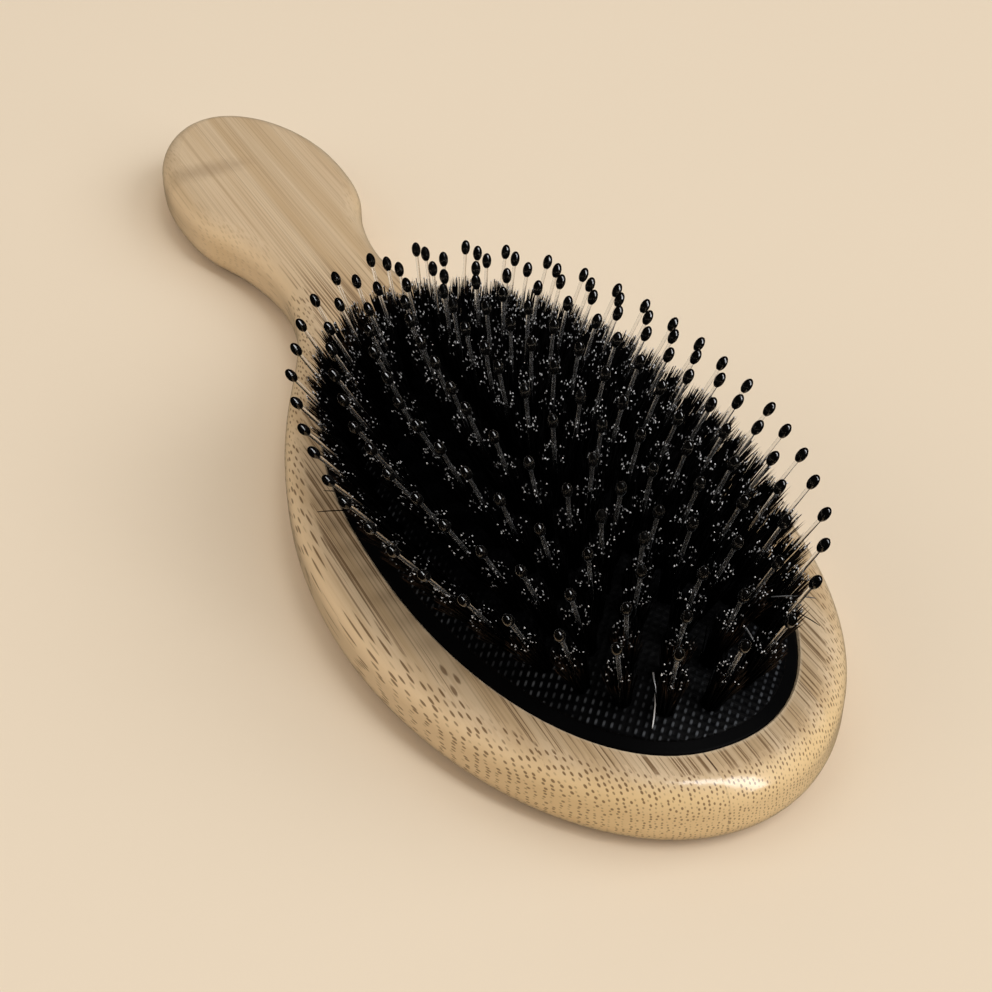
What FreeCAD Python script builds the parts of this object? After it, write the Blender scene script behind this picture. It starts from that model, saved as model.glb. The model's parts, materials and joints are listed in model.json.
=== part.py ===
import FreeCAD, Part
import math
import os
import random

# Cushion hair brush with a laminated bamboo board: an oval head, a narrow neck and a flared handle.
# The board lies on its back. Origin: centre of the board's footprint, on the underside.
# +X runs along the handle to the head's tip, +Y to the side, +Z is up, the way the bristles point.
# Lengths are in millimetres.

Vector = FreeCAD.Vector
os.makedirs("parts", exist_ok=True)

# Board
OVERALL_LENGTH = 236.8
BOARD_THICKNESS = 12.0
HEAD_WIDTH = 76.8
HEAD_NOSE_LENGTH = 61.7
SHOULDER_X, SHOULDER_WIDTH = 30.8, 70.6
WAIST_X, WAIST_WIDTH = 0.0, 48.2
THROAT_X, THROAT_WIDTH = -15.5, 33.2
NECK_X, NECK_WIDTH = -38.5, 22.8
GRIP_X, GRIP_WIDTH = -59.2, 29.6
HANDLE_WIDTH = 38.8
HANDLE_END_LENGTH = 34.7
EDGE_ROUND = 4.5
STRIP_WIDTH = 20.0
FIRST_GLUE_LINE_Y = -24.5
GLUE_LINES = 3

# Pocket in the head, with a groove under its rim that holds the cushion's bead
TIP_TO_POCKET_CENTRE = 65.7
POCKET_LENGTH = 116.0
POCKET_WIDTH = 58.2
POCKET_POWER = 2.2
POCKET_DEPTH = 6.5
POCKET_CHAMFER = 0.3
GROOVE_TOP_DEPTH = 3.0
GROOVE_HEIGHT = 2.1
GROOVE_UNDERCUT = 1.8

# Air cushion: a moulded rubber dome with a skirt and a bead, faced with woven fabric
CUSHION_RISE = 12.8
CUSHION_POWER = 1.85
CUSHION_EDGE_DROP = 0.2
RUBBER_THICKNESS = 2.0
SKIRT_WIDTH = 2.2
BEAD_HEIGHT = 1.9
CUSHION_FIT = 0.1
FABRIC_THICKNESS = 0.5
FABRIC_MARGIN = 1.8

# Tufts: nylon pins with ball tips, each standing in a bundle of bristles
FIELD_HALF_LENGTH = 52.2
FIELD_HALF_WIDTH = 24.7
RING_PITCH = 5.16
RING_COUNT = 5
TUFT_SPACING = 6.4
MIDDLE_ROW_CLEARANCE = 4.2
SPLAY = 1.06
LEAN = 0.03
LEAN_SEED = 11
PIN_RADIUS = 0.30
PIN_LENGTH = 17.0
PIN_HEAD_RADIUS = 1.6
PIN_HEAD_THICKNESS = 0.6
BALL_RADIUS = 0.80
BALL_LENGTH = 2.7
BALL_SOCKET_DEPTH = 0.9
SOCKET_GAP = 0.02
BUNDLE_LENGTH = 12.2
BUNDLE_ROOT_RADIUS = 1.1
BUNDLE_TIP_RADIUS = 2.1
BUNDLE_CROWN = 0.6
BUNDLE_BORE_GAP = 0.10
TUFT_HOLE_GAP = 0.35
HEAD_GAP = 0.3
ZONE_COUNT = 6

# Values worked out from the driving dimensions
TIP_X = OVERALL_LENGTH / 2
HEAD_WIDEST_X = TIP_X - HEAD_NOSE_LENGTH
HANDLE_WIDEST_X = -TIP_X + HANDLE_END_LENGTH
POCKET_X = TIP_X - TIP_TO_POCKET_CENTRE
POCKET_A = POCKET_LENGTH / 2
POCKET_B = POCKET_WIDTH / 2
GROOVE_TOP_Z = BOARD_THICKNESS - GROOVE_TOP_DEPTH
GROOVE_FLOOR_Z = GROOVE_TOP_Z - GROOVE_HEIGHT
CUSHION_EDGE_Z = BOARD_THICKNESS - CUSHION_EDGE_DROP
TUFT_HOLE_RADIUS = BUNDLE_ROOT_RADIUS + TUFT_HOLE_GAP
PIN_FOOT = FABRIC_THICKNESS + RUBBER_THICKNESS + HEAD_GAP
BUNDLE_FOOT = PIN_FOOT - HEAD_GAP / 2

# An edge counts as level, or as lying on a face, when it is nearer than this
FLAT_EDGE = 1e-3


def export(shape, name):
    """Writes one sub-part as a STEP file, after checking that it is sound."""
    assert shape.isValid(), name
    shape.exportStep(f"parts/{name}.step")
    print(f"{name}: {len(shape.Solids)} solid(s), {shape.Volume:.1f} mm3")


def spline(points, start_tangent, end_tangent):
    """A smooth edge through points, leaving and arriving along the given directions."""
    curve = Part.BSplineCurve()
    curve.interpolate(Points=points, InitialTangent=start_tangent, FinalTangent=end_tangent)
    return curve.toShape()


def quarter_ellipse(centre_x, reach, half_width, side):
    """The edge from the board's widest point round to its end on the axis; reach is signed."""
    widest = Vector(centre_x, side * half_width, 0)
    end = Vector(centre_x + reach, 0, 0)
    corner = math.sqrt(0.5)
    middle = Vector(centre_x + reach * corner, side * half_width * corner, 0)
    if abs(reach) > half_width:
        ellipse = Part.Ellipse(end, widest, Vector(centre_x, 0, 0))
    else:
        ellipse = Part.Ellipse(widest, end, Vector(centre_x, 0, 0))
    first, mid, last = (ellipse.parameter(p) for p in (widest, middle, end))
    if (mid - first) % (2 * math.pi) > (last - first) % (2 * math.pi):
        first, last = last, first
    return Part.Arc(ellipse, first, last).toShape()


def flank(side):
    """The flowing side of the board from the head's widest point to the handle's widest point."""
    stations = [
        (HEAD_WIDEST_X, HEAD_WIDTH),
        (SHOULDER_X, SHOULDER_WIDTH),
        (WAIST_X, WAIST_WIDTH),
        (THROAT_X, THROAT_WIDTH),
        (NECK_X, NECK_WIDTH),
        (GRIP_X, GRIP_WIDTH),
        (HANDLE_WIDEST_X, HANDLE_WIDTH),
    ]
    points = [Vector(x, side * width / 2, 0) for x, width in stations]
    return spline(points, Vector(-1, 0, 0), Vector(-1, 0, 0))


def board_outline():
    """The closed outline of the board: round nose, flowing sides and a round handle end."""
    edges = []
    for side in (1, -1):
        edges.append(quarter_ellipse(HEAD_WIDEST_X, HEAD_NOSE_LENGTH, HEAD_WIDTH / 2, side))
        edges.append(flank(side))
        edges.append(quarter_ellipse(HANDLE_WIDEST_X, -HANDLE_END_LENGTH, HANDLE_WIDTH / 2, side))
    return Part.Wire(Part.__sortEdges__(edges))


def superellipse(half_length, half_width, power, samples=64):
    """Points of a closed oval a little fuller than an ellipse, centred on the pocket."""
    points = []
    for i in range(samples):
        angle = 2 * math.pi * i / samples
        c, s = math.cos(angle), math.sin(angle)
        x = half_length * math.copysign(abs(c) ** (2 / power), c)
        y = half_width * math.copysign(abs(s) ** (2 / power), s)
        points.append(Vector(POCKET_X + x, y, 0))
    return points


def oval_prism(growth, bottom_z, top_z):
    """A straight-sided solid with the pocket's outline, grown outwards by growth."""
    curve = Part.BSplineCurve()
    curve.interpolate(superellipse(POCKET_A + growth, POCKET_B + growth, POCKET_POWER), True)
    face = Part.Face(Part.Wire(curve.toShape()))
    face.translate(Vector(0, 0, bottom_z))
    return face.extrude(Vector(0, 0, top_z - bottom_z))


def oval_ring(outer_growth, inner_growth, bottom_z, top_z):
    """An oval band between two growths of the pocket's outline."""
    outer = oval_prism(outer_growth, bottom_z, top_z)
    return outer.cut(oval_prism(inner_growth, bottom_z - 1, top_z + 1))


def board():
    """The whole bamboo board, with rounded edges, the cushion's pocket and its groove."""
    blank = Part.Face(board_outline()).extrude(Vector(0, 0, BOARD_THICKNESS))
    rim = [e for e in blank.Edges if e.BoundBox.ZLength < FLAT_EDGE]
    blank = blank.makeFillet(EDGE_ROUND, rim)
    pocket = oval_prism(0, BOARD_THICKNESS - POCKET_DEPTH, BOARD_THICKNESS + 1)
    groove = oval_prism(GROOVE_UNDERCUT, GROOVE_FLOOR_Z, GROOVE_TOP_Z)
    body = blank.cut(pocket).cut(groove)
    top_edges = [e for e in body.Edges if abs(e.BoundBox.ZMin - BOARD_THICKNESS) < FLAT_EDGE]
    mouth = [e for e in top_edges if abs(e.BoundBox.YLength - POCKET_WIDTH) < 1]
    return body.makeChamfer(POCKET_CHAMFER, mouth)


def board_strips():
    """The board sawn along its glue lines: long bamboo strips, edge to edge."""
    body = board()
    lines = [FIRST_GLUE_LINE_Y + i * STRIP_WIDTH for i in range(GLUE_LINES)]
    limits = [-HEAD_WIDTH] + lines + [HEAD_WIDTH]
    strips = []
    for low, high in zip(limits, limits[1:]):
        slab = Part.makeBox(2 * OVERALL_LENGTH, high - low, 2 * BOARD_THICKNESS)
        slab.translate(Vector(-OVERALL_LENGTH, low, -BOARD_THICKNESS / 2))
        strips.append(body.common(slab))
    return strips


def cushion_z(x, y):
    """Height of the rubber dome's outer face; x and y are measured from the pocket's centre."""
    rho = (abs(x / POCKET_A) ** POCKET_POWER + abs(y / POCKET_B) ** POCKET_POWER) ** (1 / POCKET_POWER)
    return CUSHION_EDGE_Z + CUSHION_RISE * (1 - rho**CUSHION_POWER)


def dome_slab(growth, bottom_offset, top_offset):
    """A domed sheet between two offsets of the cushion's face, cut to the grown pocket outline."""
    columns, rows, margin = 33, 21, 1.03
    grid = []
    for i in range(columns):
        x = POCKET_A * margin * (2 * i / (columns - 1) - 1)
        line = []
        for j in range(rows):
            y = POCKET_B * margin * (2 * j / (rows - 1) - 1)
            line.append(Vector(POCKET_X + x, y, cushion_z(x, y) + bottom_offset))
        grid.append(line)
    surface = Part.BSplineSurface()
    surface.interpolate(grid)
    sheet = surface.toShape().extrude(Vector(0, 0, top_offset - bottom_offset))
    return sheet.common(oval_prism(growth, 0, 3 * BOARD_THICKNESS))


def ring_points(ring):
    """Tuft places on one ring, evenly spaced along its oval; odd rings start half a step on."""
    half_length = FIELD_HALF_LENGTH - ring * RING_PITCH
    half_width = FIELD_HALF_WIDTH - ring * RING_PITCH
    oval = Part.Ellipse(Vector(0, 0, 0), half_length, half_width)
    count = round(oval.length() / TUFT_SPACING)
    shift = 0.5 * (ring % 2)
    stations = [oval.parameterAtDistance((i + shift) * oval.length() / count, 0) for i in range(count)]
    return [(oval.value(s).x, oval.value(s).y) for s in stations]


def middle_row(inner_ring):
    """Tuft places along the axis, between those of the inner ring, where there is room for them."""
    upper = sorted(p for p in inner_ring if p[1] > 0.01)
    row = []
    for (x1, y1), (x2, y2) in zip(upper, upper[1:]):
        x = (x1 + x2) / 2
        if min(math.hypot(x1 - x, y1), math.hypot(x2 - x, y2)) > MIDDLE_ROW_CLEARANCE:
            row.append((x, 0.0))
    return row


def tuft_frame(x, y, scatter):
    """Root point on the fabric and direction of the tuft at x, y from the pocket's centre."""
    step = 0.01
    slope_x = (cushion_z(x + step, y) - cushion_z(x - step, y)) / (2 * step)
    slope_y = (cushion_z(x, y + step) - cushion_z(x, y - step)) / (2 * step)
    root = Vector(POCKET_X + x, y, cushion_z(x, y) + FABRIC_THICKNESS)
    lean_x = scatter.uniform(-LEAN, LEAN)
    lean_y = scatter.uniform(-LEAN, LEAN)
    return root, Vector(lean_x - SPLAY * slope_x, lean_y - SPLAY * slope_y, 1)


def tuft_zones():
    """Every tuft's placement, grouped into zones that stand at about the same height on the dome."""
    rings = [ring_points(ring) for ring in range(RING_COUNT)]
    places = [place for ring in rings for place in ring] + middle_row(rings[-1])
    lowest = min(cushion_z(x, y) for x, y in places)
    band = (CUSHION_EDGE_Z + CUSHION_RISE - lowest) / ZONE_COUNT
    zones = [[] for _ in range(ZONE_COUNT)]
    heights = [[] for _ in range(ZONE_COUNT)]
    scatter = random.Random(LEAN_SEED)
    for x, y in places:
        root, direction = tuft_frame(x, y, scatter)
        zone = min(int((CUSHION_EDGE_Z + CUSHION_RISE - cushion_z(x, y)) / band), ZONE_COUNT - 1)
        zones[zone].append(FreeCAD.Placement(root, FreeCAD.Rotation(Vector(0, 0, 1), direction)))
        heights[zone].append(cushion_z(x, y) - BOARD_THICKNESS)
    for index, group in enumerate(heights, start=1):
        print(f"zone {index}: {len(group)} tufts, mean height above the board {sum(group) / len(group):.3f}")
    return zones


def turned(profile):
    """A solid of revolution about Z from (radius, height) corners."""
    corners = [Vector(r, 0, z) for r, z in profile]
    wire = Part.makePolygon(corners + corners[:1])
    return Part.Face(wire).revolve(Vector(0, 0, 0), Vector(0, 0, 1), 360)


def nylon_pin():
    """One pin, root at the origin: flat head behind the rubber, then a straight shaft up into the ball."""
    top = PIN_LENGTH - BALL_LENGTH / 2 + BALL_SOCKET_DEPTH - SOCKET_GAP
    foot = -PIN_FOOT - PIN_HEAD_THICKNESS
    head = Part.makeCylinder(PIN_HEAD_RADIUS, PIN_HEAD_THICKNESS, Vector(0, 0, foot))
    shaft = Part.makeCylinder(PIN_RADIUS, top - foot, Vector(0, 0, foot))
    return head.fuse(shaft).removeSplitter()


def ball_tip():
    """One egg-shaped ball with a blind socket for the pin's end."""
    bottom = PIN_LENGTH - BALL_LENGTH / 2
    sphere = Part.makeSphere(1.0)
    stretch = FreeCAD.Matrix()
    stretch.scale(BALL_RADIUS, BALL_RADIUS, BALL_LENGTH / 2)
    ball = sphere.transformGeometry(stretch)
    ball.translate(Vector(0, 0, PIN_LENGTH))
    socket = Part.makeCylinder(PIN_RADIUS + SOCKET_GAP, BALL_SOCKET_DEPTH + 1, Vector(0, 0, bottom - 1))
    return ball.cut(socket)


def bristle_bundle():
    """One flared bundle of bristles round its pin, with a slightly crowned end."""
    bore = PIN_RADIUS + BUNDLE_BORE_GAP
    return turned(
        [
            (bore, -BUNDLE_FOOT),
            (BUNDLE_ROOT_RADIUS, -BUNDLE_FOOT),
            (BUNDLE_ROOT_RADIUS, 0.0),
            (BUNDLE_TIP_RADIUS, BUNDLE_LENGTH - BUNDLE_CROWN),
            (bore, BUNDLE_LENGTH),
        ]
    )


def placed(shape, placements):
    """Copies of shape at every placement, as one group of separate solids."""
    copies = []
    for placement in placements:
        copy = shape.copy()
        copy.Placement = placement
        copies.append(copy)
    return Part.makeCompound(copies)


def tuft_holes(zones):
    """Round cutters through the fabric and the rubber, one per tuft."""
    reach = 2 * PIN_FOOT
    cutter = Part.makeCylinder(TUFT_HOLE_RADIUS, 2 * reach, Vector(0, 0, -reach))
    return [s for zone in zones for s in placed(cutter, zone).Solids]


def rubber_cushion(holes):
    """The moulded cushion: dome, skirt down the pocket's wall and bead in the groove."""
    dome = dome_slab(-CUSHION_FIT, -RUBBER_THICKNESS, 0)
    bead_z = GROOVE_FLOOR_Z + CUSHION_FIT
    skirt = oval_ring(-CUSHION_FIT, -SKIRT_WIDTH, bead_z, CUSHION_EDGE_Z - RUBBER_THICKNESS / 2)
    bead = oval_ring(GROOVE_UNDERCUT - CUSHION_FIT, -SKIRT_WIDTH, bead_z, bead_z + BEAD_HEIGHT)
    return dome.fuse([skirt, bead]).removeSplitter().cut(holes)


def fabric_facing(holes):
    """The woven cloth bonded to the dome, stopping short of the wood."""
    return dome_slab(-FABRIC_MARGIN, 0, FABRIC_THICKNESS).cut(holes)


for index, strip in enumerate(board_strips(), start=1):
    export(strip, f"bamboo_strip_{index}")

tuft_groups = tuft_zones()
hole_cutters = tuft_holes(tuft_groups)
export(rubber_cushion(hole_cutters), "rubber_cushion")
export(fabric_facing(hole_cutters), "fabric_facing")

for index, group in enumerate(tuft_groups, start=1):
    export(placed(nylon_pin(), group), f"nylon_pins_zone_{index}")
    export(placed(ball_tip(), group), f"ball_tips_zone_{index}")
    export(placed(bristle_bundle(), group), f"bristle_tufts_zone_{index}")
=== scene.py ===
import json
import math
import random

import bpy
import numpy as np
from mathutils import Matrix, Vector

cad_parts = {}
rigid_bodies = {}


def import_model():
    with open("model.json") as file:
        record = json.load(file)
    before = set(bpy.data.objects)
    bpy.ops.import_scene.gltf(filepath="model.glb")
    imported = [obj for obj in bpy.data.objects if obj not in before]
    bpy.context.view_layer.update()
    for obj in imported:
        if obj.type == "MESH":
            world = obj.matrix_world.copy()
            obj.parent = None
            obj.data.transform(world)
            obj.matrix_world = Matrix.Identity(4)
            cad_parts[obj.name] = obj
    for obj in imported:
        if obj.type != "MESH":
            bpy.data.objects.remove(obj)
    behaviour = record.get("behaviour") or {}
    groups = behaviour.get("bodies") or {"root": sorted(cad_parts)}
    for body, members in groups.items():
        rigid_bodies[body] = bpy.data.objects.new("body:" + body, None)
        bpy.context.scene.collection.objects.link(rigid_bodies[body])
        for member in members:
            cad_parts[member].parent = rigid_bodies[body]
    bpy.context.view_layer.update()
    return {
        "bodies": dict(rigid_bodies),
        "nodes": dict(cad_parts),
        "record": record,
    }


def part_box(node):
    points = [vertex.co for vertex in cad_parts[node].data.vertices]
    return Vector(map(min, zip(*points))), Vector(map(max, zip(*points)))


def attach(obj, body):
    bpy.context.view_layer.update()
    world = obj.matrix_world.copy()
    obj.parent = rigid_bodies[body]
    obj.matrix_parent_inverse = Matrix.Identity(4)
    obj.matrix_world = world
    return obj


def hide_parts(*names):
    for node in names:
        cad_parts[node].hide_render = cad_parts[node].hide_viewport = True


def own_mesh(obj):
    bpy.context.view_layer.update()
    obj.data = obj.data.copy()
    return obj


# Looks of a cushion hair brush: bamboo board, rubber cushion with a woven cloth, hair tufts, nylon pins.
# Metres, in the CAD's frame: +X runs along the handle to the head's tip, +Z is up.

MM = 0.001
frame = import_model()

# Sizes read from the frame
STRIPS = sorted(n for n in frame["nodes"] if n.startswith("bamboo_strip"))
ZONES = sorted(b for b in frame["bodies"] if b.startswith("tuft_zone"))
BOARD_BODY = "board_and_cushion"
BOARD_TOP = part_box(STRIPS[1])[1].z
BOARD_LOW_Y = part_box(STRIPS[0])[0].y
BOARD_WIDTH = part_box(STRIPS[-1])[1].y - BOARD_LOW_Y
MAIN_SEAM_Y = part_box(STRIPS[1])[1].y
HANDLE_END_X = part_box(STRIPS[1])[0].x
CLOTH_LOW, CLOTH_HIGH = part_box("fabric_facing")
BEAD_LOW, BEAD_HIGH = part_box("rubber_cushion")
CENTRE_X = (CLOTH_LOW.x + CLOTH_HIGH.x) / 2
CLOTH_MARGIN = 1.8 * MM
POCKET_A = (CLOTH_HIGH.x - CLOTH_LOW.x) / 2 + CLOTH_MARGIN
POCKET_B = (CLOTH_HIGH.y - CLOTH_LOW.y) / 2 + CLOTH_MARGIN

# The cushion's form, as the CAD has it
CLOTH_THICKNESS = 0.5 * MM
EDGE_Z = BOARD_TOP - 0.2 * MM
DOME_RISE = CLOTH_HIGH.z - CLOTH_THICKNESS - EDGE_Z
DOME_POWER = 1.85
POCKET_POWER = 2.2
WELD = 0.001 * MM


# ---------------------------------------------------------------- geometry helpers


def new_object(name, vertices, faces, material, smooth=True):
    """A mesh object in the CAD's frame from points and faces."""
    mesh = bpy.data.meshes.new(name)
    mesh.from_pydata([tuple(v) for v in vertices], [], [tuple(f) for f in faces])
    mesh.validate()
    mesh.materials.append(material)
    mesh.polygons.foreach_set("use_smooth", [smooth] * len(mesh.polygons))
    obj = bpy.data.objects.new(name, mesh)
    bpy.context.scene.collection.objects.link(obj)
    return obj


def point_values(obj, name, values):
    """Stores one number per point, for the material to read."""
    layer = obj.data.attributes.new(name, "FLOAT", "POINT")
    layer.data.foreach_set("value", np.asarray(values, np.float32))


def islands(node):
    """The connected lumps of a CAD node's mesh, each as an array of its points."""
    mesh = frame["nodes"][node].data
    points = np.zeros(len(mesh.vertices) * 3)
    mesh.vertices.foreach_get("co", points)
    points = points.reshape(-1, 3)
    _, same = np.unique(np.round(points / WELD).astype(int), axis=0, return_inverse=True)
    same = same.ravel()
    edges = np.zeros(len(mesh.edges) * 2, int)
    mesh.edges.foreach_get("vertices", edges)
    a, b = same[edges.reshape(-1, 2)].T
    label = np.arange(same.max() + 1)
    while True:
        before = label.copy()
        low = np.minimum(label[a], label[b])
        np.minimum.at(label, a, low)
        np.minimum.at(label, b, low)
        label = label[label]
        if np.array_equal(label, before):
            break
    owner = label[same]
    return [points[owner == k] for k in np.unique(owner)]


class Tuft:
    """One bundle's place, read from its CAD solid: foot, axis, length and foot radius."""

    def __init__(self, points):
        points = np.unique(np.round(points, 7), axis=0)
        centre = points.mean(0)
        _, _, directions = np.linalg.svd(points - centre, full_matrices=False)
        self.axis = directions[0] if directions[0][2] > 0 else -directions[0]
        along = (points - centre) @ self.axis
        radial = np.linalg.norm(points - centre - np.outer(along, self.axis), axis=1)
        self.foot = centre + self.axis * along.min()
        self.length = along.max() - along.min()
        self.foot_radius = radial[along < along.min() + 0.1 * MM].max()
        self.side = np.array(Vector(self.axis).orthogonal().normalized())
        self.other = np.cross(self.axis, self.side)


def dome_z(x, y):
    """Height of the rubber's outer face; x and y are measured from the cushion's centre."""
    return EDGE_Z + DOME_RISE * (1 - oval_radius(x, y, POCKET_A, POCKET_B) ** DOME_POWER)


def oval_radius(x, y, half_length, half_width):
    """How far out x, y lies: 0 at the centre, 1 on the oval with these half sizes."""
    u, v = np.abs(x / half_length), np.abs(y / half_width)
    return (u**POCKET_POWER + v**POCKET_POWER) ** (1 / POCKET_POWER)


def oval(growth, count):
    """Points round the pocket's outline, grown outwards by growth, as x and y from its centre."""
    angle = 2 * math.pi * np.arange(count) / count
    c, s = np.cos(angle), np.sin(angle)
    x = (POCKET_A + growth) * np.sign(c) * np.abs(c) ** (2 / POCKET_POWER)
    y = (POCKET_B + growth) * np.sign(s) * np.abs(s) ** (2 / POCKET_POWER)
    return x, y


# ---------------------------------------------------------------- materials


class Nodes:
    """A short way to write a node tree: a call adds its nodes, joins their inputs and gives its output."""

    def __init__(self, name):
        self.material = bpy.data.materials.new(name)
        self.material.use_nodes = True
        self.tree = self.material.node_tree
        self.shader = self.tree.nodes["Principled BSDF"]

    def add(self, kind, inputs=None, **settings):
        """A new node; inputs are its sockets by name or number, settings are its properties."""
        node = self.tree.nodes.new(kind)
        for key, value in settings.items():
            setattr(node, key, value)
        for key, value in (inputs or {}).items():
            self.put(node.inputs[key], value)
        return node

    def put(self, socket, value):
        """Joins another node's output to a socket, or sets a plain value on it."""
        if isinstance(value, bpy.types.NodeSocket):
            self.tree.links.new(value, socket)
        else:
            socket.default_value = value

    def math(self, operation, a, b=0.0):
        return self.add("ShaderNodeMath", {0: a, 1: b}, operation=operation).outputs[0]

    def times(self, a, b):
        return self.math("MULTIPLY", a, b)

    def plus(self, a, b):
        return self.math("ADD", a, b)

    def mix(self, factor, a, b):
        return self.add("ShaderNodeMix", {0: factor, 6: a, 7: b}, data_type="RGBA").outputs[2]

    def ramp(self, value, low, high):
        """0 below low, 1 above high and smooth between; low may be the larger."""
        kind = {"clamp": True, "interpolation_type": "SMOOTHSTEP"}
        return self.add("ShaderNodeMapRange", {0: value, 1: low, 2: high}, **kind).outputs[0]

    def noise(self, vector, detail=2.0, scale=1.0):
        inputs = {"Vector": vector, "Scale": scale, "Detail": detail}
        return self.add("ShaderNodeTexNoise", inputs).outputs["Fac"]

    def cells(self, u, v, randomness, stretch=1.0):
        """Distance from the core of each cell of a plane net, and a random number for the cell."""
        inputs = {"Vector": self.join(u, v, 0.0), "Scale": 1.0, "Randomness": randomness}
        node = self.add("ShaderNodeTexVoronoi", inputs, voronoi_dimensions="2D")
        core_u, core_v, _ = self.split(node.outputs["Position"])
        du = self.math("SUBTRACT", u, core_u)
        dv = self.times(self.math("SUBTRACT", v, core_v), 1 / stretch)
        distance = self.math("SQRT", self.plus(self.times(du, du), self.times(dv, dv)))
        return distance, self.split(node.outputs["Color"])[0]

    def place(self, scale=(1, 1, 1), offset=(0, 0, 0)):
        """The point on the object, in metres times scale."""
        coordinates = self.add("ShaderNodeTexCoord").outputs["Object"]
        inputs = {"Vector": coordinates, "Location": offset, "Scale": scale}
        return self.add("ShaderNodeMapping", inputs).outputs[0]

    def split(self, vector):
        return self.add("ShaderNodeSeparateXYZ", {0: vector}).outputs

    def join(self, x, y, z):
        return self.add("ShaderNodeCombineXYZ", {0: x, 1: y, 2: z}).outputs[0]

    def attribute(self, name):
        return self.add("ShaderNodeAttribute", attribute_name=name).outputs["Fac"]

    def bump(self, height, strength, distance):
        inputs = {"Strength": strength, "Distance": distance, "Height": height}
        return self.add("ShaderNodeBump", inputs).outputs[0]

    def finish(self, **sockets):
        """Sets the shader's own sockets, with _ in place of each space, and gives the material."""
        for key, value in sockets.items():
            self.put(self.shader.inputs[key.replace("_", " ")], value)
        return self.material


def rgb(r, g, b):
    return (r, g, b, 1.0)


def toned(colour, tone):
    """A colour made lighter or darker by a factor."""
    return rgb(*(part * tone for part in colour))


# Bamboo: bundles of dark fibre run along X through pale wood
FIBRE_PITCH_Y = 0.90 * MM
FIBRE_PITCH_Z = 1.15 * MM
FIBRE_STRETCH = 1.55
FINER_ACROSS = 0.35
FINER_DOWN = 0.80
FAINTER_DOWN = 0.35
EDGE_ROUND = 4.5 * MM
STREAK_REACH = 5
STREAKS_PER_METRE = 940
STREAK_LAYERS = ((1.0, 1.0), (1.5, 0.95), (2.2, 0.8))  # how much finer each is, and how strong

PALE_WOOD = (0.75, 0.575, 0.375)
WARM_WOOD = (0.63, 0.45, 0.26)
CLOUD_WOOD = (0.66, 0.47, 0.285)
FINE_LINE = (0.40, 0.245, 0.105)
# Painted light on the board's rounded and upright sides.
SIDE_PAINTED_LIGHT = (0.94, 0.71, 0.44)
END_WOOD = (0.80, 0.56, 0.25)
# Lighter line at the pocket's rim: wear of the lacquer and a painted highlight.
RIM_WEAR_AND_HIGHLIGHT = (0.80, 0.66, 0.47)
FIBRE_BROWN = (0.17, 0.085, 0.027)
NODE_BROWN = (0.25, 0.15, 0.075)
KNOT_BROWN = (0.16, 0.08, 0.03)
GLUE_BROWN = (0.075, 0.03, 0.014)
SMALL_KNOTS = ((29.5, -28.6), (31.5, -30.0), (27.0, -29.6))  # mm from the cushion's centre


def slope_length(n, z):
    """How far down the board's rounded side a height lies, measured over its surface."""
    depth = n.math("SUBTRACT", BOARD_TOP, z)
    in_round = n.math("MINIMUM", depth, EDGE_ROUND)
    turn = n.math("ARCCOSINE", n.math("SUBTRACT", 1.0, n.times(in_round, 1 / EDGE_ROUND)))
    return n.plus(n.times(turn, EDGE_ROUND), n.math("SUBTRACT", depth, in_round))


def fibre_dots(n, offset):
    """Bundles cut through: dots on end grain, dashes on the sides; finer down and towards +Y."""
    _, y, z = n.split(n.place())
    across = n.math("SUBTRACT", y, BOARD_LOW_Y)
    down = slope_length(n, z)
    finer_across = n.plus(1.0, n.times(across, FINER_ACROSS / BOARD_WIDTH))
    finer_down = n.plus(1.0, n.times(down, FINER_DOWN / BOARD_TOP))
    column = n.times(n.times(across, 1 / FIBRE_PITCH_Y), finer_across)
    row = n.times(n.times(down, 1 / FIBRE_PITCH_Z), finer_down)
    waver = n.times(n.noise(n.place((14, 60, 60), offset)), 1.6)
    column = n.plus(column, waver)
    odd = n.math("MODULO", n.math("FLOOR", n.plus(column, 0.25)), 2.0)
    row = n.plus(n.plus(row, waver), n.times(odd, 0.5))
    distance, chance = n.cells(column, row, 0.50, FIBRE_STRETCH)
    size = n.plus(0.13, n.times(chance, 0.09))
    dark = n.ramp(n.math("SUBTRACT", distance, size), 0.06, -0.05)
    dark = n.times(dark, n.math("SUBTRACT", 1.0, n.times(down, FAINTER_DOWN / BOARD_TOP)))
    return n.times(dark, n.plus(0.35, n.times(n.ramp(chance, 0.05, 0.6), 0.65)))


def face_streaks(n, offset):
    """Fine dark lines along the flat faces, in loose groups with plain wood between."""
    x, y, _ = n.split(n.place())
    total = 0.0
    for scale, strength in STREAK_LAYERS:
        line = n.plus(n.times(y, STREAKS_PER_METRE * scale), offset[1])
        run = n.plus(n.times(x, STREAK_REACH * scale), offset[2])
        distance, chance = n.cells(run, line, 0.9)
        group = n.ramp(n.noise(n.place((5, 230 * scale, 0), offset)), 0.31, 0.43)
        streak = n.times(n.ramp(distance, 0.21, 0.15), n.plus(0.75, n.times(chance, 0.25)))
        total = n.math("MAXIMUM", total, n.times(n.times(streak, group), strength))
    return total


def knot_mark(n, centre_x, centre_y, half_length, half_width, softness):
    """A ragged dark patch where the cane had a knot."""
    x, y, _ = n.split(n.place())
    u = n.times(n.math("SUBTRACT", x, centre_x), 1 / half_length)
    v = n.times(n.math("SUBTRACT", y, centre_y), 1 / half_width)
    distance = n.math("SQRT", n.plus(n.times(u, u), n.times(v, v)))
    ragged = n.plus(distance, n.times(n.noise(n.place((420, 900, 420)), 3.0), 0.9))
    return n.ramp(ragged, 1.35 + softness, 1.35 - softness)


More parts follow.
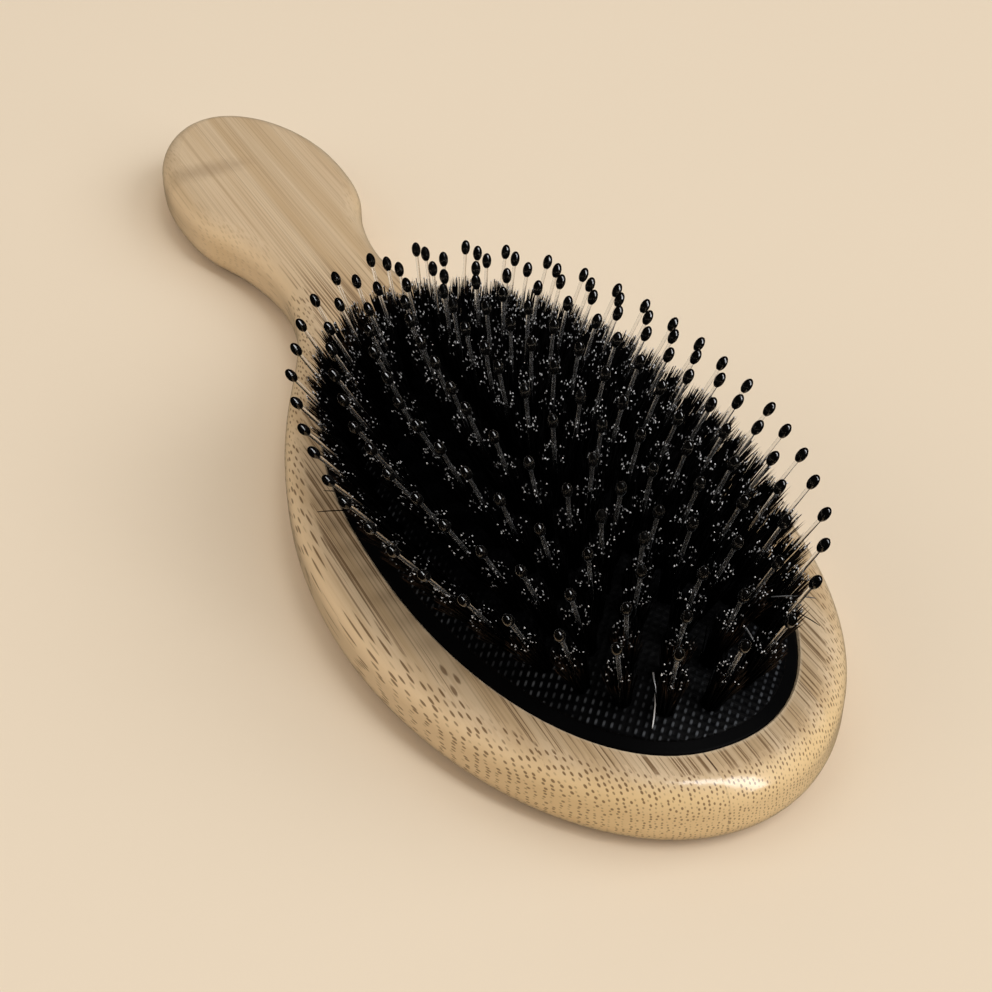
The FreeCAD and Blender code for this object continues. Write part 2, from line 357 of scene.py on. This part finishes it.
def pocket_edge(n):
    """1 along the pocket's sharp rim, where a lighter line stands for lacquer wear from handling and a
    painted highlight on the chamfer.
    """
    x, y, z = n.split(n.place())
    total = 0.0
    for distance, half_size in ((n.math("SUBTRACT", x, CENTRE_X), POCKET_A), (y, POCKET_B)):
        share = n.math("ABSOLUTE", n.times(distance, 1 / half_size))
        total = n.plus(total, n.math("POWER", share, POCKET_POWER))
    rho = n.math("POWER", total, 1 / POCKET_POWER)
    near = n.ramp(n.math("ABSOLUTE", n.math("SUBTRACT", rho, 1.0)), 0.018, 0.004)
    return n.times(near, n.ramp(z, BOARD_TOP - 0.5 * MM, BOARD_TOP - 0.2 * MM))


def glue_lines(n, strip, flat):
    """Thin dark joints along a strip's two edges: one is plain to see on the head, the rest are faint."""
    low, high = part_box(strip)
    x, y, _ = n.split(n.place())
    glue = 0.0
    for edge in (low.y, high.y):
        strength = 0.95 if abs(edge - MAIN_SEAM_Y) < 0.1 * MM else 0.12
        near = n.ramp(n.math("ABSOLUTE", n.math("SUBTRACT", y, edge)), 0.16 * MM, 0.06 * MM)
        glue = n.math("MAXIMUM", glue, n.times(near, strength))
    on_head = n.ramp(x, CENTRE_X - POCKET_A, CENTRE_X)
    return n.times(n.times(glue, n.plus(0.15, n.times(flat, 0.85))), n.plus(0.25, n.times(on_head, 0.75)))


def plain_wood(n, offset, tone, side, fine, clouds):
    """The wood's colour before its fibres: soft bands and clouds, more golden at the ends, and lighter and
    more golden on the sides as painted light.
    """
    normal = n.add("ShaderNodeTexCoord").outputs["Normal"]
    end_grain = n.ramp(n.math("ABSOLUTE", n.split(normal)[0]), 0.15, 0.75)
    bands = n.noise(n.place((3, 210, 60), offset))
    wood = n.mix(n.ramp(bands, 0.34, 0.66), toned(PALE_WOOD, tone), toned(WARM_WOOD, tone))
    wood = n.mix(n.times(n.ramp(clouds, 0.45, 0.75), 0.4), wood, rgb(*CLOUD_WOOD))
    wood = n.mix(n.times(n.ramp(fine, 0.42, 0.75), 0.28), wood, rgb(*FINE_LINE))
    # Painted light: the sides are made lighter and more golden, as if lit.
    wood = n.mix(n.times(side, 0.8), wood, rgb(*SIDE_PAINTED_LIGHT))
    return n.mix(n.times(end_grain, 0.6), wood, rgb(*END_WOOD))


def with_knots(n, wood):
    """Adds the cane's faint joint across the handle and a few small knots beside the pocket."""
    joint = knot_mark(n, HANDLE_END_X + 28 * MM, -10 * MM, 3.4 * MM, 8.5 * MM, 0.75)
    wood = n.mix(n.times(joint, 0.38), wood, rgb(*NODE_BROWN))
    for along, across in SMALL_KNOTS:
        knot = knot_mark(n, CENTRE_X + along * MM, across * MM, 1.3 * MM, 0.32 * MM, 0.3)
        wood = n.mix(n.times(knot, 0.8), wood, rgb(*KNOT_BROWN))
    return wood


def bamboo(strip):
    """Satin-lacquered bamboo, one tone per strip, with its fibres, knots and glue lines, painted light on
    its sides and a lighter line of wear and painted highlight round the pocket.
    """
    draw = random.Random(strip)
    offset = tuple(draw.uniform(1, 9) for _ in range(3))
    tone = 1 + draw.uniform(-0.05, 0.05)
    n = Nodes(strip)
    x, _, _ = n.split(n.place())
    facing = n.math("ABSOLUTE", n.split(n.add("ShaderNodeTexCoord").outputs["Normal"])[2])
    flat = n.ramp(facing, 0.955, 0.999)
    side = n.ramp(facing, 1.0, 0.50)
    fine = n.noise(n.place((22, 2600, 2600), offset))
    clouds = n.noise(n.place((14, 45, 45), offset))
    dots = n.times(fibre_dots(n, offset), n.math("SUBTRACT", 1.0, n.times(flat, 0.8)))
    streaks = n.times(face_streaks(n, offset), flat)
    grip = n.ramp(x, HANDLE_END_X + 95 * MM, HANDLE_END_X + 70 * MM)
    fibre = n.times(n.math("MAXIMUM", dots, streaks), n.math("SUBTRACT", 0.96, n.times(grip, 0.74)))
    wood = plain_wood(n, offset, tone, side, fine, clouds)
    wood = n.mix(fibre, wood, rgb(*FIBRE_BROWN))
    wood = with_knots(n, wood)
    wood = n.mix(glue_lines(n, strip, flat), wood, rgb(*GLUE_BROWN))
    # A lighter line round the pocket's rim: wear of the lacquer and a painted highlight on the chamfer.
    wood = n.mix(n.times(pocket_edge(n), 0.5), wood, rgb(*RIM_WEAR_AND_HIGHLIGHT))
    height = n.math("SUBTRACT", n.times(fine, 0.25), fibre)
    rough = n.plus(n.plus(0.36, n.times(fibre, 0.15)), n.times(clouds, 0.12))
    return n.finish(
        Base_Color=wood,
        Roughness=rough,
        Normal=n.bump(height, 0.30, 0.04 * MM),
        Coat_Weight=1.0,
        Coat_IOR=1.75,
        Coat_Roughness=0.17,
        Sheen_Weight=0.30,
        Sheen_Roughness=0.45,
        Sheen_Tint=rgb(1.0, 0.88, 0.70),
    )


def rubber():
    """Black moulded rubber with a faint bloom."""
    n = Nodes("black_rubber")
    bloom = n.noise(n.place(), 4.0, 160.0)
    grain = n.noise(n.place(), 2.0, 2400.0)
    return n.finish(
        Base_Color=n.mix(bloom, rgb(0.0010, 0.0010, 0.0011), rgb(0.0022, 0.0022, 0.0025)),
        Roughness=n.plus(0.40, n.times(bloom, 0.2)),
        Normal=n.bump(grain, 0.25, 0.03 * MM),
        Specular_IOR_Level=0.05,
    )


def cloth():
    """Black plain-woven cloth: the yarns are in the mesh; the twist of their fibres and the painted glints
    on top of the floats are here.
    """
    n = Nodes("woven_cloth")
    wave = {"Vector": n.place((1, 0.45, 1)), "Scale": 1500.0, "Distortion": 1.5}
    twist = n.add("ShaderNodeTexWave", wave).outputs["Fac"]
    fuzz = n.noise(n.place(), 3.0, 3500.0)
    # Random patches where the painted glint on the floats is stronger.
    glint_patches = n.ramp(n.noise(n.place(), 3.0, 150.0), 0.36, 0.62)
    crown_glint = n.ramp(n.attribute("crown_glint"), 0.30, 0.85)
    # Painted glint: how much grey-blue highlight goes into the base colour on top of each float.
    glint_strength = n.times(crown_glint, n.plus(0.22, n.times(glint_patches, 0.78)))
    return n.finish(
        Base_Color=n.mix(glint_strength, rgb(0.0010, 0.0010, 0.0013), rgb(0.088, 0.096, 0.108)),
        Roughness=n.plus(0.38, n.times(fuzz, 0.3)),
        Normal=n.bump(n.plus(n.times(twist, 0.6), n.times(fuzz, 0.6)), 0.4, 0.05 * MM),
        Specular_IOR_Level=0.1,
    )


def hair():
    """Black bristle, brownish at the outside where light is painted as shining through the tips; painted
    glints on the cut or split ends of a few.
    """
    n = Nodes("bristle_hair")
    mottle = n.noise(n.place(), 2.0, 900.0)
    # Painted light: a brownish tint where light would shine through the outer hairs' tips.
    tone = n.mix(n.attribute("backlit_brown"), rgb(0.0012, 0.0011, 0.0012), rgb(0.050, 0.028, 0.016))
    # The glinting hairs' ends get a near-white painted glint in the base colour.
    return n.finish(
        Base_Color=n.mix(n.attribute("pale"), tone, rgb(0.90, 0.91, 0.94)),
        Roughness=n.plus(0.34, n.times(mottle, 0.25)),
        Specular_IOR_Level=0.05,
    )


def nylon():
    """Clear drawn nylon, with light gathered along its edges."""
    n = Nodes("clear_nylon")
    cloud = n.noise(n.place(), 2.0, 700.0)
    draw_lines = n.noise(n.place((1500, 1500, 40)))
    return n.finish(
        Base_Color=n.mix(cloud, rgb(1.0, 1.0, 1.0), rgb(0.93, 0.93, 0.93)),
        Roughness=0.0,
        Normal=n.bump(draw_lines, 0.10, 0.01 * MM),
        Transmission_Weight=0.975,
        IOR=1.53,
        Sheen_Weight=1.0,
        Sheen_Roughness=0.20,
        Sheen_Tint=rgb(0.92, 0.96, 1.0),
    )


def bead():
    """Glossy black ball tip, dipped and slightly uneven."""
    n = Nodes("black_bead")
    dip = n.noise(n.place(), 2.0, 900.0)
    return n.finish(
        Base_Color=n.mix(dip, rgb(0.001, 0.001, 0.001), rgb(0.004, 0.0035, 0.003)),
        Roughness=n.plus(0.10, n.times(dip, 0.08)),
        Normal=n.bump(dip, 0.06, 0.02 * MM),
        IOR=2.0,
        Sheen_Weight=0.35,
        Sheen_Roughness=0.15,
        Sheen_Tint=rgb(0.85, 0.93, 1.0),
    )


# ---------------------------------------------------------------- cushion


# The cloth is cut on the bias: its net of floats is turned from the brush's axes
CLOTH_TURN = math.radians(45)
YARN_PITCH_ACROSS = 1.15 * MM
YARN_PITCH_ALONG = 1.25 * MM
YARN_STEPS = 5
YARN_RELIEF = 0.20 * MM
TUFT_HOLE_RADIUS = 1.2 * MM
CLOTH_GLINT_SHADE_RANGE = (0.74, 0.90)  # painted shade among the tufts dims the cloth's painted glints; they rise from, and are full at
UNDER_CLOTH = 0.02 * MM
RIM_POINTS = 256


def weave(x, y):
    """Relief of the weave, and the painted glint on top of each float, both from 0 to 1."""
    c, s = math.cos(CLOTH_TURN), math.sin(CLOTH_TURN)
    across = ((x * c + y * s) / YARN_PITCH_ACROSS) % 1
    along = ((y * c - x * s) / YARN_PITCH_ALONG) % 1
    float_yarn = np.sin(math.pi * across) ** 7 * np.sin(math.pi * along) ** 0.7
    cross_yarn = 0.6 * np.cos(math.pi * along) ** 2
    return np.maximum(float_yarn, cross_yarn), float_yarn


def grid_sheet(half_length, half_width, step_u, step_v, turn, holes, hole_radius):
    """A flat oval net, turned by an angle, with round holes: its points and faces.

    Points near the rim or a hole's edge move onto it, so that both come out smooth.
    """
    far = math.hypot(half_length, half_width)
    us = np.arange(-math.ceil(far / step_u), math.ceil(far / step_u) + 1) * step_u
    vs = np.arange(-math.ceil(far / step_v), math.ceil(far / step_v) + 1) * step_v
    u, v = (grid.ravel() for grid in np.meshgrid(us, vs, indexing="ij"))
    x = u * math.cos(turn) - v * math.sin(turn)
    y = u * math.sin(turn) + v * math.cos(turn)
    reach = 0.55 * max(step_u, step_v)
    rho = np.maximum(oval_radius(x, y, half_length, half_width), 1e-9)
    gap = (rho - 1) * np.hypot(x, y) / rho
    on_rim = np.abs(gap) < reach
    x = np.where(on_rim, x / rho, x)
    y = np.where(on_rim, y / rho, y)
    keep = gap < reach
    for hole_x, hole_y in holes:
        near = np.flatnonzero(np.hypot(x - hole_x, y - hole_y) < hole_radius + reach)
        dx, dy = x[near] - hole_x, y[near] - hole_y
        distance = np.hypot(dx, dy)
        inner = distance < hole_radius - reach
        keep[near[inner]] = False
        edge = ~inner
        x[near[edge]] = hole_x + dx[edge] * hole_radius / distance[edge]
        y[near[edge]] = hole_y + dy[edge] * hole_radius / distance[edge]
    index = np.arange(len(x)).reshape(len(us), len(vs))
    quads = np.stack([index[:-1, :-1], index[1:, :-1], index[1:, 1:], index[:-1, 1:]], -1).reshape(-1, 4)
    quads = quads[keep[quads].all(1)]
    middle_x, middle_y = x[quads].mean(1), y[quads].mean(1)
    inside = oval_radius(middle_x, middle_y, half_length, half_width) < 1
    for hole_x, hole_y in holes:
        inside &= np.hypot(middle_x - hole_x, middle_y - hole_y) > hole_radius * 0.98
    used, compact = np.unique(quads[inside], return_inverse=True)
    return x[used], y[used], compact.reshape(-1, 4)


def open_edges(faces):
    """Directed edges that only one face uses."""
    edges = {(int(a), int(b)) for face in faces for a, b in zip(face, np.roll(face, -1))}
    return sorted((a, b) for a, b in edges if (b, a) not in edges)


def with_skirt(points, faces, drop):
    """Adds a turned-down edge all along the sheet's open edges."""
    points, below, skirt = list(points), {}, []
    for a, b in open_edges(faces):
        for v in (a, b):
            if v not in below:
                below[v] = len(points)
                x, y, z = points[v]
                points.append((x, y, z - drop))
        skirt.append((b, a, below[a], below[b]))
    return points, [tuple(f) for f in faces] + skirt


def tuft_holes(tufts):
    """Where the tufts pass through the dome, as x and y from the cushion's centre."""
    holes = []
    for tuft in tufts:
        point = tuft.foot.copy()
        for _ in range(6):
            rise = float(dome_z(point[0] - CENTRE_X, point[1])) - point[2]
            point = point + tuft.axis * rise
        holes.append((point[0] - CENTRE_X, point[1]))
    return holes


def make_cloth(holes):
    """The woven facing, stretched over the dome, with a turned-down edge."""
    step_u, step_v = YARN_PITCH_ACROSS / YARN_STEPS, YARN_PITCH_ALONG / YARN_STEPS
    half_length, half_width = POCKET_A - CLOTH_MARGIN, POCKET_B - CLOTH_MARGIN
    x, y, faces = grid_sheet(half_length, half_width, step_u, step_v, CLOTH_TURN, holes, TUFT_HOLE_RADIUS)
    relief, crown_glint = weave(x, y)
    lift = CLOTH_THICKNESS - YARN_RELIEF * (1 - relief)
    points, faces = with_skirt(np.stack([x + CENTRE_X, y, dome_z(x, y) + lift], 1), faces, CLOTH_THICKNESS)
    # Painted shade: the glints dim towards the middle, where the tufts shade the cloth.
    crown_glint *= np.interp(oval_radius(x, y, half_length, half_width), CLOTH_GLINT_SHADE_RANGE, (0.3, 1.0))
    obj = new_object("woven_cloth", points, faces, cloth())
    point_values(obj, "crown_glint", np.pad(crown_glint, (0, len(points) - len(crown_glint))))
    return obj


def make_rubber(holes):
    """The rubber dome with its bare band, its lip against the wood and its bead in the groove."""
    step, band, fit, wall = 0.5 * MM, 3.0 * MM, 0.1 * MM, 2.2 * MM
    bead_low = BEAD_LOW.z
    bead_top = bead_low + 1.9 * MM
    bead_reach = (BEAD_HIGH.x - BEAD_LOW.x) / 2 - POCKET_A
    x, y, faces = grid_sheet(POCKET_A - band, POCKET_B - band, step, step, 0.0, holes, TUFT_HOLE_RADIUS)
    points = list(zip(x + CENTRE_X, y, dome_z(x, y) - UNDER_CLOTH))
    faces = [tuple(int(i) for i in f) for f in faces]
    # Each ring's growth of the pocket's outline and its height, or None for a ring on the dome
    profile = [(growth * MM, None) for growth in (-3.3, -2.6, -1.9, -1.3, -0.8, -0.4, -0.2)]
    profile += [
        (-fit, EDGE_Z - 0.15 * MM),
        (-fit, bead_top),
        (bead_reach, bead_top),
        (bead_reach, bead_low),
        (-wall, bead_low),
        (-wall, EDGE_Z - 1.0 * MM),
        (-band, EDGE_Z - 1.2 * MM),
    ]
    for ring, (growth, z) in enumerate(profile):
        ring_x, ring_y = oval(growth, RIM_POINTS)
        ring_z = dome_z(ring_x, ring_y) if z is None else np.full(RIM_POINTS, z)
        start = len(points)
        before = start - RIM_POINTS
        points += list(zip(ring_x + CENTRE_X, ring_y, ring_z))
        if ring:
            for i in range(RIM_POINTS):
                j = (i + 1) % RIM_POINTS
                faces.append((before + i, start + i, start + j, before + j))
    return new_object("cushion_rubber", points, faces, rubber())


# ---------------------------------------------------------------- bristles


HAIRS_PER_TUFT = 120
# Hairs per tuft that get a painted glint on their cut ends.
GLINTING_HAIRS = 30
HAIR_RADIUS = 0.095 * MM
# How long the painted glint at a hair's end is, and how far the glinting hairs flare compared with the
# rest.
GLINT_CAP = (0.10 * MM, 0.42 * MM)
GLINT_SPREAD = 0.55
POINTED_CAP = 1.6 * MM
NECK_LENGTH = 0.1 * MM
TUFT_FLARE = 2.55 * MM
PIN_CLEARANCE = 0.36 * MM
HAIR_SIDES = 3
RING_WIDTHS = (1.0, 1.0, 0.95, 0.85, 1.0)
# How much painted see-through light each ring of an outer hair gets, root to tip.
BACKLIT_BY_RING = (0.0, 0.0, 0.0, 0.3, 1.0, 1.0)  # the last is the tip
OUTER_RHO = 0.72
STRAY_RADIUS = 0.12 * MM
STRAY_STATIONS = (0.0, 0.3, 0.6, 0.85, 0.97, 1.0)

# Strays: where each leaves the tufts and where it ends, in mm; how far it bows, and how much painted glint
# it has
STRAYS = [
    ((45.5, -25.0, 16.5), (34.8, -30.6, 14.6), (0.0, 0.6, 0.8), 0.0),
    ((46.5, -25.6, 15.8), (38.4, -33.2, 13.6), (0.3, 0.0, 0.9), 0.0),
    ((98.6, -5.8, 17.6), (104.9, -9.4, 13.75), (0.3, 0.3, 0.5), 1.0),
    ((95.4, 9.6, 19.0), (104.6, 8.8, 15.9), (0.2, 0.5, 1.4), 0.55),
    ((91.5, 19.0, 14.8), (97.6, 23.6, 13.6), (0.0, 0.2, 0.5), 0.0),
    ((97.5, 14.0, 23.0), (98.4, 21.5, 20.5), (0.2, 0.0, 0.5), 0.15),
    ((96.0, 13.0, 23.5), (95.6, 22.2, 21.5), (0.0, 0.0, 0.7), 0.0),
]


class Hairs:
    """Bristles gathered as arrays: three-sided tubes that taper or swell to a closed tip."""

    RINGS = 5
    POINTS = RINGS * HAIR_SIDES + 1

    def __init__(self):
        self.points, self.faces, self.pale, self.backlit_brown = [], [], [], []
        self.count = 0

    def add(self, centres, side, other, radius, swell, pale, backlit_brown):
        """Adds one hair per row of centres, each the middles of its rings and then its tip."""
        number = len(centres)
        angle = 2 * math.pi * np.arange(HAIR_SIDES) / HAIR_SIDES
        spoke = np.outer(np.cos(angle), side) + np.outer(np.sin(angle), other)
        thick = radius[:, None] * np.array(RING_WIDTHS)
        thick[:, -1] = radius * swell
        rings = centres[:, :-1, None, :] + thick[:, :, None, None] * spoke
        rings = rings.reshape(number, -1, 3)
        self.points.append(np.concatenate([rings, centres[:, -1:]], 1).reshape(-1, 3))
        shade = np.zeros((number, self.POINTS))
        shade[:, -1 - HAIR_SIDES :] = pale[:, None]
        self.pale.append(shade.ravel())
        depth = np.repeat(BACKLIT_BY_RING, [HAIR_SIDES] * self.RINGS + [1])
        self.backlit_brown.append(np.outer(backlit_brown, depth).ravel())
        start = self.count + np.arange(number)[:, None, None] * self.POINTS
        self.faces += (start + self.tube()).reshape(-1, 4).tolist()
        self.faces += (start + self.caps()).reshape(-1, 3).tolist()
        self.count += number * self.POINTS

    @classmethod
    def tube(cls):
        """Corners of the quads round one hair."""
        quads = []
        for ring in range(cls.RINGS - 1):
            for k in range(HAIR_SIDES):
                a = ring * HAIR_SIDES + k
                b = ring * HAIR_SIDES + (k + 1) % HAIR_SIDES
                quads.append((a, b, b + HAIR_SIDES, a + HAIR_SIDES))
        return np.array(quads)

    @classmethod
    def caps(cls):
        """Corners of the triangles that close one hair's tip and root."""
        top = (cls.RINGS - 1) * HAIR_SIDES
        caps = [(top + k, top + (k + 1) % HAIR_SIDES, cls.POINTS - 1) for k in range(HAIR_SIDES)]
        return np.array(caps + [(2, 1, 0)])

    def finish(self, name, material):
        """All the hairs as one object."""
        obj = new_object(name, np.concatenate(self.points), self.faces, material)
        point_values(obj, "pale", np.concatenate(self.pale))
        point_values(obj, "backlit_brown", np.concatenate(self.backlit_brown))
        return obj


def ring_stations(length, cap):
    """How far up each hair its rings and its tip are, from 0 to 1."""
    last = 1 - cap / length
    below = last - NECK_LENGTH / length
    return np.stack([0 * last, 0.35 * below, 0.7 * below, below, last, np.ones_like(last)], 1)


def add_tuft(hairs, tuft, draw):
    """One tuft: its hairs leave the hole packed together and flare out round the pin."""
    count = HAIRS_PER_TUFT
    angle = draw.uniform(0, 2 * math.pi, count)
    spread = np.sqrt(draw.uniform(0, 1, count))
    out = np.outer(np.cos(angle), tuft.side) + np.outer(np.sin(angle), tuft.other)
    swerve = angle + draw.uniform(-0.45, 0.45, count)
    turned = np.outer(np.cos(swerve), tuft.side) + np.outer(np.sin(swerve), tuft.other)
    root_reach = PIN_CLEARANCE + (tuft.foot_radius * 0.95 - PIN_CLEARANCE) * spread
    root = tuft.foot + out * root_reach[:, None]
    length = tuft.length * (0.80 + 0.21 * draw.uniform(0, 1, count) ** 0.7) * (1 - 0.05 * spread**2)
    flare = (TUFT_FLARE - 0.5 * MM) * spread * draw.uniform(0.75, 1.15, count) - 0.2 * MM
    sway = draw.uniform(-0.5, 0.5, count) * MM
    # A few hairs get a painted glint on their cut ends.
    pale = np.zeros(count)
    pale[:GLINTING_HAIRS] = draw.uniform(0.15, 1.0, GLINTING_HAIRS) ** 1.6
    flare = np.where(pale > 0, GLINT_SPREAD * flare, flare)
    cap = np.where(pale > 0, draw.uniform(*GLINT_CAP, count), POINTED_CAP)
    swell = np.where(pale > 0, draw.uniform(0.9, 2.0, count), 0.55)
    t = ring_stations(length, cap)[:, :, None]
    centres = root[:, None] + tuft.axis * length[:, None, None] * t
    centres = centres + turned[:, None] * flare[:, None, None] * t**1.3
    centres = centres + np.cross(turned, tuft.axis)[:, None] * sway[:, None, None] * t**2
    radius = draw.uniform(0.8, 1.2, count) * HAIR_RADIUS
    # Painted see-through light: brownish tips on hairs leaning outwards at the field's edge.
    backlit_brown = outside(tuft, turned) * draw.uniform(0.1, 1.0, count)
    hairs.add(centres, tuft.side, tuft.other, radius, swell, pale, backlit_brown)


def outside(tuft, directions):
    """1 for a hair that leans outwards at the edge of the tufts' field, down to 0 inside it: where light
    is painted as shining through the tips.
    """
    x, y = tuft.foot[0] - CENTRE_X, tuft.foot[1]
    rho = oval_radius(x, y, POCKET_A, POCKET_B)
    away = np.array([x / POCKET_A**2, y / POCKET_B**2, 0])
    facing = directions @ (away / np.linalg.norm(away))
    return np.clip(facing, 0, 1) * float(rho > OUTER_RHO)


def add_stray(hairs, start, end, bow, pale):
    """A single hair that has come loose and bends away from the tufts."""
    start, end, bow = (np.array(v) * MM for v in (start, end, bow))
    t = np.array(STRAY_STATIONS)[:, None]
    centres = start + (end - start) * t + bow * np.sin(math.pi * t)
    axis = Vector(end - start).normalized()
    side = axis.orthogonal().normalized()
    other = axis.cross(side)
    # A stray gets painted see-through light at its tip unless it carries a painted glint.
    radius, swell, backlit_brown = (np.array([v]) for v in (STRAY_RADIUS, 0.6, 0.6 * (1 - pale)))
    hairs.add(centres[None], np.array(side), np.array(other), radius, swell, np.array([pale]), backlit_brown)
    if pale:
        hairs.pale[-1][:] = pale


def make_bristles(zone, seed, material):
    """The hair of one zone, in place of its plain bundles."""
    node = next(n for n in frame["record"]["behaviour"]["bodies"][zone] if n.startswith("bristle"))
    draw = np.random.default_rng(seed)
    tufts = [Tuft(points) for points in islands(node)]
    hairs = Hairs()
    for tuft in tufts:
        add_tuft(hairs, tuft, draw)
    if zone == ZONES[-1]:
        for start, end, bow, pale in STRAYS:
            add_stray(hairs, start, end, bow, pale)
    obj = hairs.finish(node.replace("bristle_tufts", "bristles"), material)
    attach(obj, zone)
    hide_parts(node)
    return tufts


# ---------------------------------------------------------------- stage


def set_material(node, material):
    """Gives a CAD node its finished material."""
    slots = frame["nodes"][node].data.materials
    slots.clear()
    slots.append(material)


def make_floor():
    """A pale, plain floor that runs on past the view."""
    n = Nodes("floor_paper")
    cloud = n.noise(n.place(), 2.0, 3.0)
    n.finish(Base_Color=n.mix(cloud, rgb(0.790, 0.678, 0.530), rgb(0.810, 0.693, 0.544)), Roughness=0.9)
    reach = 4.0
    corners = [(-reach, -reach, 0), (reach, -reach, 0), (reach, reach, 0), (-reach, reach, 0)]
    floor = new_object("floor", corners, [(0, 1, 2, 3)], n.material, False)
    floor.visible_glossy = False


def area_light(name, azimuth, elevation, distance, size, power, colour, glossy=True):
    """A soft rectangular lamp that looks at the head from the given direction, in degrees.

    It lights the clear pins but isn't seen through them, so they stay dark against the hair.
    """
    data = bpy.data.lights.new(name, "AREA")
    data.shape = "RECTANGLE"
    data.size, data.size_y = size
    data.energy = power
    data.color = colour
    lamp = bpy.data.objects.new(name, data)
    a, e = math.radians(azimuth), math.radians(elevation)
    direction = Vector((math.cos(a) * math.cos(e), math.sin(a) * math.cos(e), math.sin(e)))
    lamp.location = Vector((CENTRE_X, 0, BOARD_TOP)) + direction * distance
    lamp.rotation_mode = "QUATERNION"
    lamp.rotation_quaternion = (-direction).to_track_quat("-Z", "Y")
    lamp.visible_glossy = glossy
    lamp.visible_transmission = False
    bpy.context.scene.collection.objects.link(lamp)


def make_lights():
    """A tall strip light beyond the tip, and a window, a fill and an overhead lamp that give no gloss."""
    white, cool, warm = (1.0, 1.0, 1.0), (0.98, 1.0, 1.03), (1.0, 0.96, 0.90)
    area_light("strip", 26, 42, 3.2, (0.70, 5.0), 66.0, white)
    area_light("window", 66, 35, 5.5, (4.4, 3.2), 115.0, cool, glossy=False)
    area_light("fill", -100, 28, 4.0, (4.0, 4.0), 55.0, (1.0, 0.96, 0.91), glossy=False)
    area_light("overhead", 175, 58, 4.0, (4.0, 4.0), 40.0, warm, glossy=False)
    world = bpy.data.worlds.new("studio")
    world.use_nodes = True
    background = world.node_tree.nodes["Background"]
    background.inputs["Color"].default_value = rgb(1.0, 0.86, 0.70)
    background.inputs["Strength"].default_value = 0.25
    world.cycles_visibility.glossy = False
    bpy.context.scene.world = world


def make_camera():
    """The viewpoint: from the head's end, a little to the side, looking down along the handle.

    Its angles are in radians.
    """
    azimuth, elevation, roll = -0.449, 0.655, -0.00995
    distance = 0.2949
    target = Vector((0.0328, 0.00175, 0.00096))
    flat = Vector((math.cos(azimuth), math.sin(azimuth), 0)) * math.cos(elevation)
    back = flat + Vector((0, 0, math.sin(elevation)))
    level = Vector((-math.sin(azimuth), math.cos(azimuth), 0))
    rise = back.cross(level)
    right = level * math.cos(roll) + rise * math.sin(roll)
    up = rise * math.cos(roll) - level * math.sin(roll)
    data = bpy.data.cameras.new("camera")
    data.lens = 60.9
    data.sensor_width = 36.0
    data.clip_start = 0.01
    camera = bpy.data.objects.new("camera", data)
    turn = Matrix((right, up, back)).transposed().to_4x4()
    camera.matrix_world = Matrix.Translation(target + back * distance) @ turn
    bpy.context.scene.collection.objects.link(camera)
    bpy.context.scene.camera = camera


# ---------------------------------------------------------------- assembly


def finish_hard_parts():
    """The board, the pins and the ball tips keep their CAD shape and get their materials."""
    for strip in STRIPS:
        set_material(strip, bamboo(strip))
    materials = {"nylon_pins": nylon(), "ball_tips": bead()}
    for node in frame["nodes"]:
        for start, material in materials.items():
            if node.startswith(start):
                set_material(node, material)


def flatten_when_pressed(piece):
    """Gives a soft piece its own copy of its mesh."""
    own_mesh(piece)


def make_cushion(holes):
    """The rubber dome and the cloth stretched over it, in place of their CAD solids."""
    rubber_piece = make_rubber(holes)
    cloth_piece = make_cloth(holes)
    for piece, node, slot in (
        (rubber_piece, "rubber_cushion", "rubber"),
        (cloth_piece, "fabric_facing", "cloth"),
    ):
        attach(piece, BOARD_BODY)
        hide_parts(node)
        flatten_when_pressed(piece)


finish_hard_parts()
hair_material = hair()
all_tufts = []
for number, zone_name in enumerate(ZONES):
    all_tufts += make_bristles(zone_name, number, hair_material)
make_cushion(tuft_holes(all_tufts))

make_floor()
make_lights()
make_camera()
bpy.context.scene.view_settings.view_transform = "Standard"
